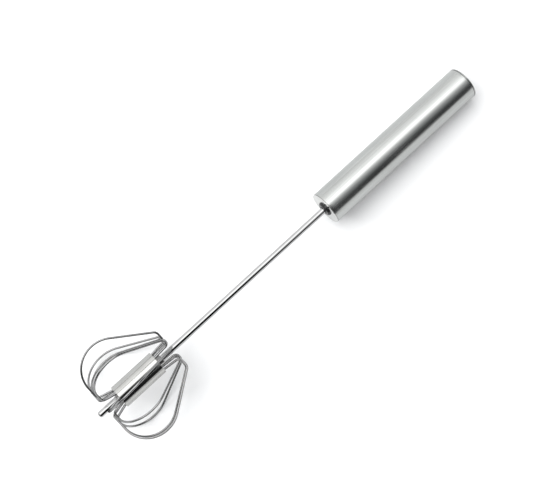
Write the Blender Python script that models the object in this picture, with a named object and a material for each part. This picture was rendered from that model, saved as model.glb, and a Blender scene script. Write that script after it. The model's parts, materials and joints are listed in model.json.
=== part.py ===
"""Hand-pushed rotary egg whisk, lying on a table.

Pushing the handle down over the shaft drives a nut along a twisted strip inside the handle, which spins
the shaft and the wire head below it; a compression spring pushes the handle back up.

Everything is drawn in the tool's own frame: +Z runs up the shaft from the rounded tip (0) to the top cap,
and +X is the side that faces the table. One empty, tool_axis, then lays the whole tool down.
"""

import math

import bmesh
import bpy
from mathutils import Matrix, Vector

MM = 0.001

# Stations along the tool, measured from the tip
HUB_BOTTOM = 15.8 * MM
HUB_TOP = 45.8 * MM
HANDLE_BOTTOM = 181.6 * MM
OVERALL_LENGTH = 300.0 * MM

# Handle
HANDLE_RADIUS = 10.8 * MM
HANDLE_WALL = 0.8 * MM
CAP_THICKNESS = 1.0 * MM
CAP_RIM = 0.45 * MM
CAP_SPIGOT = 2.4 * MM
CAP_ROUND = 0.4 * MM
CAP_HOLE_RADIUS = 4.85 * MM
FIT_GAP = 0.05 * MM

# Shaft and drive
SHAFT_RADIUS = 2.0 * MM
SHAFT_BORE = 1.5 * MM
SHAFT_TOP = 195.2 * MM
TIP_LENGTH = 17.0 * MM
TIP_SPIGOT = 6.0 * MM
RUNNING_GAP = 0.1 * MM
NUT_RADIUS = 4.6 * MM
NUT_BOTTOM = 191.3 * MM
NUT_TOP = 199.3 * MM
STRIP_WIDTH = 2.5 * MM
STRIP_THICKNESS = 0.8 * MM
STRIP_BOTTOM = 178.0 * MM
STRIP_STRAIGHT_FROM = 284.0 * MM
STRIP_TOP = 295.4 * MM
STRIP_PITCH = 35.0 * MM
SLOT_GAP = 0.15 * MM

# Parts inside the handle
BUSH_TOP = 191.0 * MM
BUSH_FACE = 180.3 * MM
BUSH_ROUND = 1.1 * MM
BUSH_FUNNEL = 0.7 * MM
THRUST_BOTTOM = 199.5 * MM
THRUST_TOP = 200.5 * MM
THRUST_RADIUS = 7.6 * MM
SEAT_BOTTOM = 286.2 * MM
SEAT_TOP = 287.3 * MM
SEAT_RADIUS = 9.2 * MM
ANCHOR_BOTTOM = 287.5 * MM
ANCHOR_TOP = 295.8 * MM
PIN_RADIUS = 0.55 * MM
SPRING_RADIUS = 6.0 * MM
SPRING_WIRE = 0.45 * MM
SPRING_TURNS = 13
SPRING_CLOSED_TURNS = 1.25

# Wire head
SLEEVE_RADIUS = 7.4 * MM
SLEEVE_BORE = 6.8 * MM
CORE_RADIUS = 5.05 * MM
CORE_NOSE_RADIUS = 3.2 * MM
CORE_NOSE = 1.6 * MM
CORE_COLLAR = 3.2 * MM
WIRE_RADIUS = 0.675 * MM
LEG_RADIUS = 5.95 * MM
LOOP_REACH = 34.0 * MM
LOOP_FOOT = 6.3 * MM
LOOP_HEAD = 56.8 * MM
BELLY_RADIUS = 17.4 * MM
SHOULDER_REACH = 14.2 * MM
HEAD_REACH = 7.1 * MM
FOOT_REACH = 8.6 * MM

# Each loop as bent by hand: name, angle of its leg in the sleeve, angle of its belly, how far it leans
# (degrees), how much further up its foot ends, and how much closer its neck lies to the shaft (mm).
# Angles run from the side facing the table.
LOOPS = (
    ("wire_loop_1", -39.0, -40.2, 0.0, -0.3, 0.0),
    ("wire_loop_2", -68.0, -69.8, 0.0, 0.0, 0.0),
    ("wire_loop_3", -107.0, -106.8, 0.0, 0.0, 0.0),
    ("wire_loop_4", -152.0, -147.8, 0.0, 1.4, 0.0),
    ("wire_loop_5", -177.0, -177.0, -3.2, 0.0, 0.0),
    ("wire_loop_6", 150.0, 146.8, 0.0, 1.0, 1.4),
    ("wire_loop_7", 108.0, 108.2, 0.0, 0.0, 0.0),
    ("wire_loop_8", 57.0, 48.8, 0.0, -0.5, 0.0),
    ("wire_loop_9", 36.0, 40.2, 0.0, -0.5, 0.4),
)
STANCE = math.radians(40.2)

ROUND_STEPS = 48
SMALL_STEPS = 24
WIRE_STEPS = 5
BELLY_STEPS = 16


def clear_scene():
    """Empty the scene, so the file can be run again in the same session."""
    for obj in list(bpy.data.objects):
        bpy.data.objects.remove(obj, do_unlink=True)


def steel(name, colour, roughness, metallic=1.0):
    """Principled material with one colour, roughness and metallic value."""
    material = bpy.data.materials.new(name)
    material.use_nodes = True
    shader = material.node_tree.nodes["Principled BSDF"]
    shader.inputs["Base Color"].default_value = (*colour, 1.0)
    shader.inputs["Roughness"].default_value = roughness
    shader.inputs["Metallic"].default_value = metallic
    material.diffuse_color = (*colour, 1.0)
    return material


def place(name, data, axis, material):
    """Link data as an object on the tool's axis, with its own material."""
    obj = bpy.data.objects.new(name, data)
    bpy.context.collection.objects.link(obj)
    obj.parent = axis
    data.materials.append(material)
    return obj


def rounded(corners, closed=True):
    """Points of a polygon whose corners (x, y, radius, steps) are turned into arcs."""
    points = []
    count = len(corners)
    for i, (x, y, radius, steps) in enumerate(corners):
        here = Vector((x, y))
        ends = not closed and i in (0, count - 1)
        if radius == 0.0 or ends:
            points.append(here)
            continue
        back = (Vector(corners[i - 1][:2]) - here).normalized()
        ahead = (Vector(corners[(i + 1) % count][:2]) - here).normalized()
        half = back.angle(ahead) / 2
        centre = here + (back + ahead).normalized() * (radius / math.sin(half))
        start = here + back * (radius / math.tan(half)) - centre
        turn = start.angle_signed(here + ahead * (radius / math.tan(half)) - centre)
        for k in range(steps + 1):
            spun = start.copy()
            spun.rotate(Matrix.Rotation(-turn * k / steps, 2))
            points.append(centre + spun)
    return points


def finished(name, bm):
    """Mesh from bm with outward normals, smooth apart from its real edges."""
    bmesh.ops.remove_doubles(bm, verts=bm.verts, dist=1e-7)
    bmesh.ops.recalc_face_normals(bm, faces=bm.faces)
    mesh = bpy.data.meshes.new(name)
    bm.to_mesh(mesh)
    bm.free()
    mesh.shade_smooth()
    mesh.set_sharp_from_angle(angle=math.radians(32))
    return mesh


def lathe(name, corners, steps, closed=True):
    """Solid of revolution about Z from (radius, height, round, steps) corners."""
    bm = bmesh.new()
    verts = [bm.verts.new((p.x, 0.0, p.y)) for p in rounded(corners, closed)]
    pairs = list(zip(verts, verts[1:]))
    if closed:
        pairs.append((verts[-1], verts[0]))
    edges = [bm.edges.new(pair) for pair in pairs]
    bmesh.ops.spin(
        bm,
        geom=verts + edges,
        cent=(0, 0, 0),
        axis=(0, 0, 1),
        angle=math.tau,
        steps=steps,
        use_merge=True,
    )
    return finished(name, bm)


def ring(name, inner, outer, bottom, top, edge, steps):
    """Plain ring or tube with its four edges broken by a small radius."""
    corners = (
        (outer, top, edge, 2),
        (outer, bottom, edge, 2),
        (inner, bottom, edge, 1),
        (inner, top, edge, 1),
    )
    return lathe(name, corners, steps)


def strip_angle(height):
    """How far the strip has turned at this height; it ends flat inside its anchor."""
    return math.tau * (min(height, STRIP_STRAIGHT_FROM) - STRIP_STRAIGHT_FROM) / STRIP_PITCH


def twisted_bar(name, width, thickness, bottom, top, step):
    """Flat bar along Z that turns with strip_angle."""
    bm = bmesh.new()
    rows = []
    count = math.ceil((top - bottom) / step)
    for i in range(count + 1):
        height = bottom + (top - bottom) * i / count
        turn = Matrix.Rotation(strip_angle(height), 3, "Z")
        corners = []
        for sx, sy in ((1, 1), (-1, 1), (-1, -1), (1, -1)):
            corner = turn @ Vector((sx * width / 2, sy * thickness / 2, 0.0))
            corners.append(bm.verts.new(corner + Vector((0, 0, height))))
        rows.append(corners)
    for low, high in zip(rows, rows[1:]):
        for k in range(4):
            bm.faces.new((low[k], low[k - 3], high[k - 3], high[k]))
    bm.faces.new(reversed(rows[0]))
    bm.faces.new(rows[-1])
    return finished(name, bm)


def rod_mesh(name, radius, length, steps):
    """Round bar along Y, centred on the axis at height 0."""
    bm = bmesh.new()
    bmesh.ops.create_cone(
        bm,
        cap_ends=True,
        segments=steps,
        radius1=radius,
        radius2=radius,
        depth=length,
        matrix=Matrix.Rotation(math.pi / 2, 4, "X"),
    )
    return finished(name, bm)


def cut(target, mesh, axis, material, at=(0, 0, 0)):
    """Take the shape of mesh out of target with a hidden cutter."""
    cutter = place(mesh.name, mesh, axis, material)
    cutter.location = at
    cutter.hide_render = True
    cutter.display_type = "WIRE"
    modifier = target.modifiers.new("Cut " + mesh.name, "BOOLEAN")
    modifier.operation = "DIFFERENCE"
    modifier.solver = "EXACT"
    modifier.object = cutter


def wire(name, points, radius, closed, axis, material):
    """Round wire through points, as a bevelled poly curve."""
    curve = bpy.data.curves.new(name, "CURVE")
    curve.dimensions = "3D"
    curve.bevel_depth = radius
    curve.bevel_resolution = 2
    curve.use_fill_caps = True
    spline = curve.splines.new("POLY")
    spline.points.add(len(points) - 1)
    for slot, point in zip(spline.points, points):
        slot.co = (*point, 1.0)
    spline.use_cyclic_u = closed
    spline.use_smooth = True
    return place(name, curve, axis, material)


def build_handle(axis, brushed, polished):
    """Handle tube with a cap pressed into each end."""
    bottom = HANDLE_BOTTOM + CAP_RIM
    top = OVERALL_LENGTH - CAP_THICKNESS
    bore = HANDLE_RADIUS - HANDLE_WALL
    tube = ring(
        "handle_tube", bore, HANDLE_RADIUS, bottom + FIT_GAP, top - FIT_GAP, 0.12 * MM, ROUND_STEPS
    )
    place("handle_tube", tube, axis, brushed)
    spigot = bore - FIT_GAP
    top_cap = lathe(
        "top_cap",
        (
            (0.0, OVERALL_LENGTH, 0.0, 1),
            (HANDLE_RADIUS, OVERALL_LENGTH, CAP_ROUND, 3),
            (HANDLE_RADIUS, top, 0.12 * MM, 1),
            (spigot, top, 0.0, 1),
            (spigot, top - CAP_SPIGOT, 0.3 * MM, 1),
            (spigot - 1.2 * MM, top - CAP_SPIGOT, 0.0, 1),
            (spigot - 1.2 * MM, top, 0.0, 1),
            (0.0, top, 0.0, 1),
        ),
        ROUND_STEPS,
        closed=False,
    )
    place("top_cap", top_cap, axis, brushed)
    hole = CAP_HOLE_RADIUS
    inside = HANDLE_BOTTOM + CAP_THICKNESS
    bottom_cap = lathe(
        "bottom_cap",
        (
            (spigot, inside + CAP_SPIGOT, 0.3 * MM, 1),
            (spigot, bottom, 0.0, 1),
            (HANDLE_RADIUS, bottom, 0.08 * MM, 1),
            (HANDLE_RADIUS, HANDLE_BOTTOM, 0.25 * MM, 3),
            (hole, HANDLE_BOTTOM, 0.2 * MM, 2),
            (hole, inside, 0.0, 1),
            (spigot - 1.0 * MM, inside, 0.0, 1),
            (spigot - 1.0 * MM, inside + CAP_SPIGOT, 0.0, 1),
        ),
        ROUND_STEPS,
    )
    place("bottom_cap", bottom_cap, axis, polished)


def build_guide(axis, nylon):
    """Flanged bush that guides the shaft; its nose stands out of the bottom cap's hole."""
    seat = HANDLE_BOTTOM + CAP_THICKNESS + FIT_GAP
    body = HANDLE_RADIUS - HANDLE_WALL - 1.2 * MM
    nose = CAP_HOLE_RADIUS - 2 * FIT_GAP
    bore = SHAFT_RADIUS + RUNNING_GAP
    bush = lathe(
        "guide_bush",
        (
            (body, BUSH_TOP, 0.3 * MM, 1),
            (body, seat, 0.0, 1),
            (nose, seat, 0.0, 1),
            (nose, BUSH_FACE, BUSH_ROUND, 4),
            (bore + BUSH_FUNNEL, BUSH_FACE, 0.2 * MM, 1),
            (bore, BUSH_FACE + BUSH_FUNNEL, 0.2 * MM, 1),
            (bore, BUSH_TOP, 0.3 * MM, 1),
        ),
        SMALL_STEPS,
    )
    place("guide_bush", bush, axis, nylon)


def build_anchor(axis, polished, strip_steel):
    """Block, cross pin and washer that hold the strip and the spring under the top cap."""
    radius = HANDLE_RADIUS - HANDLE_WALL - FIT_GAP
    anchor_mesh = lathe(
        "strip_anchor",
        (
            (0.0, ANCHOR_TOP, 0.0, 1),
            (radius, ANCHOR_TOP, 0.3 * MM, 1),
            (radius, ANCHOR_BOTTOM, 0.3 * MM, 1),
            (0.0, ANCHOR_BOTTOM, 0.0, 1),
        ),
        SMALL_STEPS,
        closed=False,
    )
    anchor = place("strip_anchor", anchor_mesh, axis, polished)
    slot = twisted_bar(
        "anchor_slot",
        STRIP_WIDTH + 2 * SLOT_GAP,
        STRIP_THICKNESS + 2 * SLOT_GAP,
        ANCHOR_BOTTOM - 1 * MM,
        ANCHOR_TOP + 1 * MM,
        20 * MM,
    )
    cut(anchor, slot, axis, polished)
    pin_height = (ANCHOR_BOTTOM + ANCHOR_TOP) / 2
    hole = rod_mesh("anchor_pin_hole", PIN_RADIUS + FIT_GAP, 4 * radius, 16)
    cut(anchor, hole, axis, polished, (0, 0, pin_height))
    pin = place("anchor_pin", rod_mesh("anchor_pin", PIN_RADIUS, 1.94 * radius, 16), axis, polished)
    pin.location = (0, 0, pin_height)
    seat = ring(
        "spring_seat", STRIP_WIDTH * 0.8, SEAT_RADIUS, SEAT_BOTTOM, SEAT_TOP, 0.15 * MM, SMALL_STEPS
    )
    place("spring_seat", seat, axis, polished)
    strip_mesh = twisted_bar(
        "twisted_strip",
        STRIP_WIDTH,
        STRIP_THICKNESS,
        STRIP_BOTTOM,
        STRIP_TOP,
        STRIP_PITCH / 30,
    )
    strip = place("twisted_strip", strip_mesh, axis, strip_steel)
    strip_hole = rod_mesh("strip_pin_hole", PIN_RADIUS + FIT_GAP, 3 * STRIP_THICKNESS, 16)
    cut(strip, strip_hole, axis, strip_steel, (0, 0, pin_height))


def build_spring(axis, spring_steel):
    """Compression spring: open coils between two closed end coils."""
    low = THRUST_TOP + SPRING_WIRE + FIT_GAP
    high = SEAT_BOTTOM - SPRING_WIRE - FIT_GAP
    closed_rise = SPRING_CLOSED_TURNS * 2.2 * SPRING_WIRE
    open_turns = SPRING_TURNS - 2 * SPRING_CLOSED_TURNS
    open_pitch = (high - low - 2 * closed_rise) / open_turns
    per_turn = 14
    points = []
    for i in range(SPRING_TURNS * per_turn + 1):
        turns = i / per_turn
        below = min(turns, SPRING_CLOSED_TURNS)
        above = max(turns - (SPRING_TURNS - SPRING_CLOSED_TURNS), 0.0)
        between = turns - below - above
        height = low + (below + above) / SPRING_CLOSED_TURNS * closed_rise + between * open_pitch
        angle = math.tau * turns
        points.append((SPRING_RADIUS * math.cos(angle), SPRING_RADIUS * math.sin(angle), height))
    spring = wire("return_spring", points, SPRING_WIRE, False, axis, spring_steel)
    spring.data.bevel_resolution = 1


def build_carriage(axis, polished):
    """Thrust washer between the spring, which only slides, and the nut, which also turns."""
    bore = STRIP_WIDTH / 2 + 0.4 * MM
    washer = ring(
        "thrust_washer", bore, THRUST_RADIUS, THRUST_BOTTOM, THRUST_TOP, 0.15 * MM, SMALL_STEPS
    )
    place("thrust_washer", washer, axis, polished)


def build_shaft(axis, polished, brass):
    """Hollow shaft, its rounded tip and the drive nut on its top end."""
    shaft = ring(
        "shaft_tube", SHAFT_BORE, SHAFT_RADIUS, TIP_LENGTH, SHAFT_TOP, 0.08 * MM, SMALL_STEPS
    )
    place("shaft_tube", shaft, axis, polished)
    seam = TIP_LENGTH - FIT_GAP
    spigot = SHAFT_BORE - FIT_GAP
    tip = lathe(
        "shaft_tip",
        (
            (0.0, TIP_LENGTH + TIP_SPIGOT, 0.0, 1),
            (spigot, TIP_LENGTH + TIP_SPIGOT, 0.2 * MM, 1),
            (spigot, seam, 0.0, 1),
            (SHAFT_RADIUS, seam, 0.0, 1),
            (SHAFT_RADIUS, 0.0, 1.45 * MM, 6),
            (0.0, 0.0, 0.0, 1),
        ),
        SMALL_STEPS,
        closed=False,
    )
    place("shaft_tip", tip, axis, polished)
    shelf = SHAFT_TOP + RUNNING_GAP
    nut_mesh = lathe(
        "drive_nut",
        (
            (0.0, NUT_TOP, 0.0, 1),
            (NUT_RADIUS, NUT_TOP, 0.3 * MM, 1),
            (NUT_RADIUS, NUT_BOTTOM, 0.3 * MM, 1),
            (SHAFT_RADIUS + FIT_GAP, NUT_BOTTOM, 0.0, 1),
            (SHAFT_RADIUS + FIT_GAP, shelf, 0.0, 1),
            (0.0, shelf, 0.0, 1),
        ),
        SMALL_STEPS,
        closed=False,
    )
    nut = place("drive_nut", nut_mesh, axis, brass)
    slot = twisted_bar(
        "nut_slot",
        STRIP_WIDTH + 2 * SLOT_GAP,
        STRIP_THICKNESS + 2 * SLOT_GAP,
        shelf - 1 * MM,
        NUT_TOP + 1 * MM,
        STRIP_PITCH / 30,
    )
    cut(nut, slot, axis, brass)


def build_hub(axis, polished, dark):
    """Sleeve that grips the wires, and the core that keys them to the shaft."""
    sleeve = ring(
        "hub_sleeve", SLEEVE_BORE, SLEEVE_RADIUS, HUB_BOTTOM, HUB_TOP, 0.25 * MM, ROUND_STEPS
    )
    place("hub_sleeve", sleeve, axis, polished)
    bore = SHAFT_RADIUS + FIT_GAP
    inset = 1.0 * MM
    core = lathe(
        "hub_core",
        (
            (CORE_NOSE_RADIUS, HUB_TOP + CORE_COLLAR, 0.25 * MM, 2),
            (CORE_NOSE_RADIUS, HUB_TOP - inset, 0.0, 1),
            (CORE_RADIUS, HUB_TOP - inset, 0.25 * MM, 1),
            (CORE_RADIUS, HUB_BOTTOM + inset, 0.25 * MM, 1),
            (CORE_NOSE_RADIUS, HUB_BOTTOM + inset, 0.0, 1),
            (CORE_NOSE_RADIUS, HUB_BOTTOM - CORE_NOSE, 0.25 * MM, 2),
            (bore, HUB_BOTTOM - CORE_NOSE, 0.0, 1),
            (bore, HUB_TOP + CORE_COLLAR, 0.0, 1),
        ),
        SMALL_STEPS,
    )
    place("hub_core", core, axis, dark)


def loop_outline(foot_rise, neck_in):
    """(height, reach) of one wire loop's centre line, closed through the sleeve."""
    foot = LOOP_FOOT + foot_rise
    shoulder_reach = SHOULDER_REACH - neck_in
    centre = Vector((LOOP_FOOT + BELLY_RADIUS, LOOP_REACH - BELLY_RADIUS))
    shoulder = Vector((LOOP_HEAD, shoulder_reach)) - centre
    tangent = math.atan2(shoulder.y, shoulder.x) + math.acos(BELLY_RADIUS / shoulder.length)
    along = (BELLY_RADIUS - (foot - centre.x) * math.cos(tangent)) / math.sin(tangent)
    belly = BELLY_RADIUS - 0.5 * foot_rise
    corners = (
        (HUB_TOP + 0.6 * MM, LEG_RADIUS, 3.0 * MM, 2),
        (HUB_BOTTOM - 0.6 * MM, LEG_RADIUS, 3.0 * MM, 3),
        (foot, FOOT_REACH, 2.6 * MM, WIRE_STEPS),
        (foot, centre.y + along, belly, BELLY_STEPS),
        (LOOP_HEAD, shoulder_reach, 3.4 * MM, WIRE_STEPS),
        (LOOP_HEAD, HEAD_REACH, 2.6 * MM, WIRE_STEPS),
    )
    return rounded(corners)


def loop_points(leg, belly, lean, foot_rise, neck_in):
    """Points of one loop in space; it leaves the sleeve at leg and swings to belly."""
    middle = (HUB_BOTTOM + HUB_TOP) / 2
    points = []
    for point in loop_outline(foot_rise, neck_in):
        height, reach = point
        out = min(max((reach - LEG_RADIUS) / (FOOT_REACH - LEG_RADIUS), 0.0), 1.0)
        swing = out * out * (3 - 2 * out)
        angle = math.radians(leg + (belly - leg) * swing)
        aside = math.tan(math.radians(lean)) * (height - middle) * swing
        outward = Vector((math.cos(angle), math.sin(angle), 0.0))
        across = Vector((-math.sin(angle), math.cos(angle), 0.0))
        points.append(outward * reach + across * aside + Vector((0, 0, height)))
    return points


def build_loops(axis, polished):
    """The wire loops of the beating head."""
    for name, leg, belly, lean, foot_rise, neck_in in LOOPS:
        points = loop_points(leg, belly, lean, foot_rise * MM, neck_in * MM)
        wire(name, points, WIRE_RADIUS, True, axis, polished)


def lying_tilt():
    """Slope of the axis when two wire loops and the top cap's rim touch the table.

    Each side's reach below the axis is its support in the direction of the table; the slope is where
    both are equal, found by halving an interval.
    """
    low, high = 0.0, math.radians(12)
    across = math.cos(STANCE)
    for _ in range(50):
        slope = (low + high) / 2
        s, c = math.sin(slope), math.cos(slope)
        centre = (LOOP_FOOT + BELLY_RADIUS) * s + (LOOP_REACH - BELLY_RADIUS) * across * c
        head = centre + math.hypot(BELLY_RADIUS * s, BELLY_RADIUS * across * c) + WIRE_RADIUS
        rim = (OVERALL_LENGTH - CAP_ROUND) * s + (HANDLE_RADIUS - CAP_ROUND) * c + CAP_ROUND
        if head > rim:
            low = slope
        else:
            high = slope
    return (low + high) / 2


def world_bounds():
    """Lowest and highest corner of everything that is part of the tool."""
    bpy.context.view_layer.update()
    graph = bpy.context.evaluated_depsgraph_get()
    low = Vector((math.inf, math.inf, math.inf))
    high = -low
    for obj in bpy.data.objects:
        if obj.type not in ("MESH", "CURVE") or obj.hide_render:
            continue
        evaluated = obj.evaluated_get(graph)
        mesh = evaluated.to_mesh()
        for vert in mesh.vertices:
            point = evaluated.matrix_world @ vert.co
            low = Vector(map(min, low, point))
            high = Vector(map(max, high, point))
        evaluated.to_mesh_clear()
    return low, high


def lay_down(axis):
    """Lay the tool along +X, handle low, with the centre of its base on the origin."""
    axis.matrix_world = Matrix.Rotation(math.pi / 2 + lying_tilt(), 4, "Y")
    low, high = world_bounds()
    shift = Vector((-(low.x + high.x) / 2, -(low.y + high.y) / 2, -low.z))
    axis.matrix_world = Matrix.Translation(shift) @ axis.matrix_world
    bpy.context.view_layer.update()


def main():
    clear_scene()
    axis = bpy.data.objects.new("tool_axis", None)
    axis.empty_display_size = 20 * MM
    bpy.context.collection.objects.link(axis)
    brushed = steel("brushed_steel", (0.62, 0.62, 0.61), 0.32)
    polished = steel("polished_steel", (0.72, 0.72, 0.72), 0.12)
    dark = steel("shaded_steel", (0.30, 0.30, 0.30), 0.35)
    strip_steel = steel("strip_steel", (0.60, 0.60, 0.60), 0.25)
    spring_steel = steel("spring_steel", (0.50, 0.50, 0.51), 0.30)
    brass = steel("nut_brass", (0.71, 0.55, 0.28), 0.35)
    nylon = steel("dark_nylon", (0.10, 0.10, 0.105), 0.5, 0.0)
    build_handle(axis, brushed, polished)
    build_guide(axis, nylon)
    build_anchor(axis, polished, strip_steel)
    build_spring(axis, spring_steel)
    build_carriage(axis, polished)
    build_shaft(axis, polished, brass)
    build_hub(axis, polished, dark)
    build_loops(axis, polished)
    lay_down(axis)


main()
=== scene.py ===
"""Hand-pushed rotary egg whisk in stainless steel, lying on a pale table.

Laid out as an add-on and run as a script. Every piece is worked out in the tool's own frame, where +Z runs
up the shaft from the rounded tip (0) to the top cap and +X faces the table, and is then placed in the world.
"""
import json
import math

import bmesh
import bpy
import numpy as np
from bpy.props import FloatProperty, FloatVectorProperty, PointerProperty
from mathutils import Matrix, Vector


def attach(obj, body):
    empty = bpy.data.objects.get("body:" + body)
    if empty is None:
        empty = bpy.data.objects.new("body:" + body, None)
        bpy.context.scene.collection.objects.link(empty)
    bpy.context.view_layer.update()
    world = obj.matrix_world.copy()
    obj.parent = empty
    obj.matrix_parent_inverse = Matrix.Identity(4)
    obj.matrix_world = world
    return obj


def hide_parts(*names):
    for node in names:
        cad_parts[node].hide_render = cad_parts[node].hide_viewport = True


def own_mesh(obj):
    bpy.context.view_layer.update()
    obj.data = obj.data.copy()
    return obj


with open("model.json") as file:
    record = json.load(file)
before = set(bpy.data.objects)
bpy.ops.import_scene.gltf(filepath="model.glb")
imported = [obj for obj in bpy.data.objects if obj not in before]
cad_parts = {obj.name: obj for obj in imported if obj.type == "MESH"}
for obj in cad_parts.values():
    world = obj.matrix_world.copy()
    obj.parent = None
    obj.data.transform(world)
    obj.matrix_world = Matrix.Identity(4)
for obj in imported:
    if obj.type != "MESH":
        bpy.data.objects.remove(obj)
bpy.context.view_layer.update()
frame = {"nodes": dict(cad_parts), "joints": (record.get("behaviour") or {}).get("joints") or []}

bl_info = {
    "name": "Push whisk",
    "version": (1, 0, 0),
    "blender": (4, 5, 0),
    "location": "3D View > Sidebar > Whisk",
    "description": "Builds the finished pieces of a hand-pushed rotary whisk around its CAD frame",
    "category": "Object",
}

MM = 0.001
JOINTS = {joint["name"]: joint for joint in frame["joints"]}

# The tool's frame in the world: +Z up the shaft, +Y level, +X towards the table
AXIS_Z = np.array(JOINTS["spin"]["axis"], float)
AXIS_Z /= np.linalg.norm(AXIS_Z)
AXIS_Y = np.array([0.0, 1.0, 0.0])
AXIS_X = np.cross(AXIS_Y, AXIS_Z)
SPIN_HEIGHT = 0.2
TIP = np.array(JOINTS["spin"]["pos_m"], float) - SPIN_HEIGHT * AXIS_Z
TOOL = np.column_stack((AXIS_X, AXIS_Y, AXIS_Z))


def to_world(points):
    """World place of points given in the tool's frame: tip + x*X + y*Y + z*Z."""
    return points @ TOOL.T + TIP


# ---------------------------------------------------------------------------------------------------------
# Sizes and colours
# ---------------------------------------------------------------------------------------------------------


def length(name, about, value_mm):
    """A length property, given in millimetres."""
    return FloatProperty(name=name, description=about, default=value_mm * MM, unit="LENGTH", precision=5)


def angle(name, about, degrees):
    """An angle property, given in degrees."""
    return FloatProperty(name=name, description=about, default=math.radians(degrees), unit="ROTATION")


def amount(name, about, value):
    """A plain share or factor."""
    return FloatProperty(name=name, description=about, default=value, precision=4)


def colour(name, about, value):
    """A linear colour."""
    return FloatVectorProperty(
        name=name, description=about, default=value, size=3, subtype="COLOR", min=0.0, max=1.0
    )


class WhiskHandleSettings(bpy.types.PropertyGroup):
    """Tube handle, its two caps and the bush in the lower one."""

    radius: length("Radius", "Outside radius of the tube", 10.8)
    wall: length("Wall", "Wall thickness of the tube", 0.8)
    bottom: length("Bottom", "Height of the lower cap's face above the tip", 181.6)
    top: length("Top", "Height of the top cap's face above the tip", 300.0)
    cap: length("Cap thickness", "Thickness of each cap", 1.0)
    rim: length("Lower rim", "Thickness of the lower cap's visible rim", 0.45)
    seam: length("Seam round", "Rounding on both sides of each cap's seam", 0.16)
    top_round: length("Top round", "Rounding of the top cap's edge", 0.45)
    bottom_round: length("Bottom round", "Rounding of the lower cap's edge", 0.25)
    hole: length("Hole radius", "Radius of the hole in the lower cap", 4.85)
    bush_face: length("Bush face", "Height of the face of the bush's nose above the tip", 180.3)
    bush_top: length("Bush top", "Height of the bush's upper end", 191.0)
    bush_round: length("Bush rounding", "Rounding of the bush's nose", 1.1)
    bush_funnel: length("Bush funnel", "Width of the chamfer that leads into the bush's bore", 0.7)
    steel: colour("Brushed steel", "Colour of the brushed tube", (0.52, 0.532, 0.522))
    cap_steel: colour("Cap steel", "Colour of the polished lower cap", (0.76, 0.765, 0.75))
    grain: amount("Grain", "How deep the lengthwise grain looks", 1.0)


class WhiskShaftSettings(bpy.types.PropertyGroup):
    """Hollow shaft, its tip and the drive inside the handle."""

    radius: length("Radius", "Outside radius of the shaft", 2.0)
    bore: length("Bore", "Inside radius of the shaft", 1.5)
    seam: length("Seam", "Height of the joint between tip and tube", 17.0)
    top: length("Top", "Height of the shaft's upper end", 195.2)
    tip_round: length("Tip round", "Rounding of the tip", 1.45)
    strip_width: length("Strip width", "Width of the twisted strip", 2.5)
    strip_thickness: length("Strip thickness", "Thickness of the twisted strip", 0.8)
    strip_bottom: length("Strip bottom", "Height of the strip's free end", 178.0)
    strip_top: length("Strip top", "Height of the strip's held end", 295.4)
    strip_straight: length("Strip straight", "Height above which the strip is flat", 284.0)
    strip_pitch: length("Strip pitch", "Length of one full twist", 35.0)
    spring_radius: length("Spring radius", "Mean radius of the return spring", 6.0)
    spring_wire: length("Spring wire", "Radius of the spring's wire", 0.45)
    spring_low: length("Spring low", "Height of the thrust washer's upper face", 200.5)
    spring_high: length("Spring high", "Height of the spring seat's lower face", 286.2)
    steel: colour("Steel", "Colour of the polished shaft", (0.54, 0.54, 0.54))


class WhiskHeadSettings(bpy.types.PropertyGroup):
    """Hub and wire loops."""

    hub_bottom: length("Hub bottom", "Height of the sleeve's lower end", 15.8)
    hub_top: length("Hub top", "Height of the sleeve's upper end", 45.8)
    sleeve: length("Sleeve radius", "Outside radius of the sleeve", 7.4)
    sleeve_bore: length("Sleeve bore", "Inside radius of the sleeve", 6.8)
    core: length("Core radius", "Radius of the core inside the sleeve", 5.05)
    nose: length("Nose radius", "Radius of the core's ends", 3.2)
    nose_down: length("Nose", "How far the core stands out below", 1.6)
    collar_up: length("Collar", "How far the core stands out above", 3.2)
    wire: length("Wire radius", "Radius of the loop wire", 0.675)
    leg: length("Leg radius", "Distance of the wires from the axis inside the sleeve", 5.95)
    reach: length("Reach", "Greatest distance of a loop from the axis", 34.0)
    foot: length("Foot", "Height of the loops' lower run", 6.3)
    head: length("Head", "Height of the loops' upper run", 56.8)
    belly: length("Belly radius", "Radius of the loops' wide end", 17.4)
    shoulder: length("Shoulder", "Distance of the upper outer bend from the axis", 14.2)
    head_reach: length("Head reach", "Distance of the upper inner bend from the axis", 7.1)
    foot_reach: length("Foot reach", "Distance of the lower inner bend from the axis", 8.6)
    hub_steel: colour("Hub steel", "Colour of the polished sleeve", (0.53, 0.53, 0.515))
    wire_steel: colour("Wire steel", "Colour of the bright wire", (0.42, 0.42, 0.42))


class WhiskStageSettings(bpy.types.PropertyGroup):
    """Camera, table and light."""

    distance: length("Distance", "Distance of the camera from the tool's axis", 731.0)
    station: length("Station", "Height above the tip of the point under the camera", 20.0)
    offset: length("Offset", "How far the camera stands to the side of the axis", 8.84)
    lean: angle("Lean", "How far the view leans towards the handle", 9.42)
    slant: angle("Slant", "How steeply the tool rises across the view", 42.3811)
    around: angle("Around", "Direction of the camera round the axis, from level", -88.75)
    lens: amount("Lens", "Focal length in mm on a sensor 36 mm wide", 83.75)
    table: colour("Table", "Colour of the table top", (0.9, 0.905, 0.91))
    table_mirrored: amount("Mirrored table", "Brightness of the table as the metal mirrors it", 0.76)
    room: amount("Room", "Brightness of the room as the metal mirrors it", 1.0)
    dome: amount("Dome", "Brightness of the even light on the table", 0.6)
    lamps: amount("Lamps", "Brightness of the soft lamps together", 1.0)


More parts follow.
